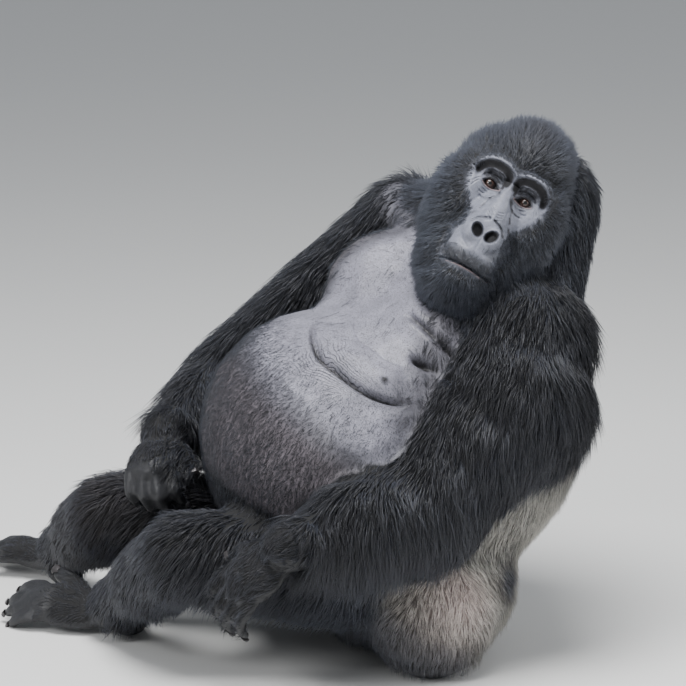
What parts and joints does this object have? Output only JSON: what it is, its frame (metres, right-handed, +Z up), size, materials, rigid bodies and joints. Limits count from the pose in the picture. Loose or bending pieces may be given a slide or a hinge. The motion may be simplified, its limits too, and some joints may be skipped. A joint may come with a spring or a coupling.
{
  "type": "gorilla",
  "caption": "Adult male gorilla sitting on its rump and leaning back, arms over its thighs and legs forward, head turned to the viewer; a still, life-size display model.",
  "frame": {"origin": "on the floor, under the middle of the model's box", "axes": "+Z up; the face looks along -Y, the chest and belly face -X and a little -Y, and the legs run toward -X"},
  "size_m": [1.1408, 0.9794, 0.9337],
  "materials": {
    "black_coat": "near-black fur with a faint cold sheen",
    "silver_coat": "short silver-grey saddle and flank fur",
    "bare_chest": "smooth bare grey skin, softly shining",
    "bare_skin": "creased dark grey skin",
    "eye": "wet, dark red-brown",
    "nail": "smooth black horn"
  },
  "bodies": {
    "root": {"belly": "bare_chest", "chest": "bare_chest", "ear_left": "bare_skin", "ear_right": "bare_skin", "eye_left": "eye", "eye_right": "eye", "foot_left": "bare_skin", "foot_right": "bare_skin", "forearm_left": "black_coat", "forearm_right": "black_coat", "hand_left": "bare_skin", "hand_right": "bare_skin", "head": "black_coat", "nail_great_toe_left": "nail", "nail_great_toe_right": "nail", "nail_index_left": "nail", "nail_index_right": "nail", "nail_little_left": "nail", "nail_little_right": "nail", "nail_middle_left": "nail", "nail_middle_right": "nail", "nail_ring_left": "nail", "nail_ring_right": "nail", "nail_thumb_left": "nail", "nail_thumb_right": "nail", "nail_toe_2_left": "nail", "nail_toe_2_right": "nail", "nail_toe_3_left": "nail", "nail_toe_3_right": "nail", "nail_toe_4_left": "nail", "nail_toe_4_right": "nail", "nail_toe_5_left": "nail", "nail_toe_5_right": "nail", "neck": "black_coat", "pelvis": "silver_coat", "shank_left": "black_coat", "shank_right": "black_coat", "thigh_left": "black_coat", "thigh_right": "black_coat", "upper_arm_left": "black_coat", "upper_arm_right": "black_coat"}
  },
  "joints": []
}
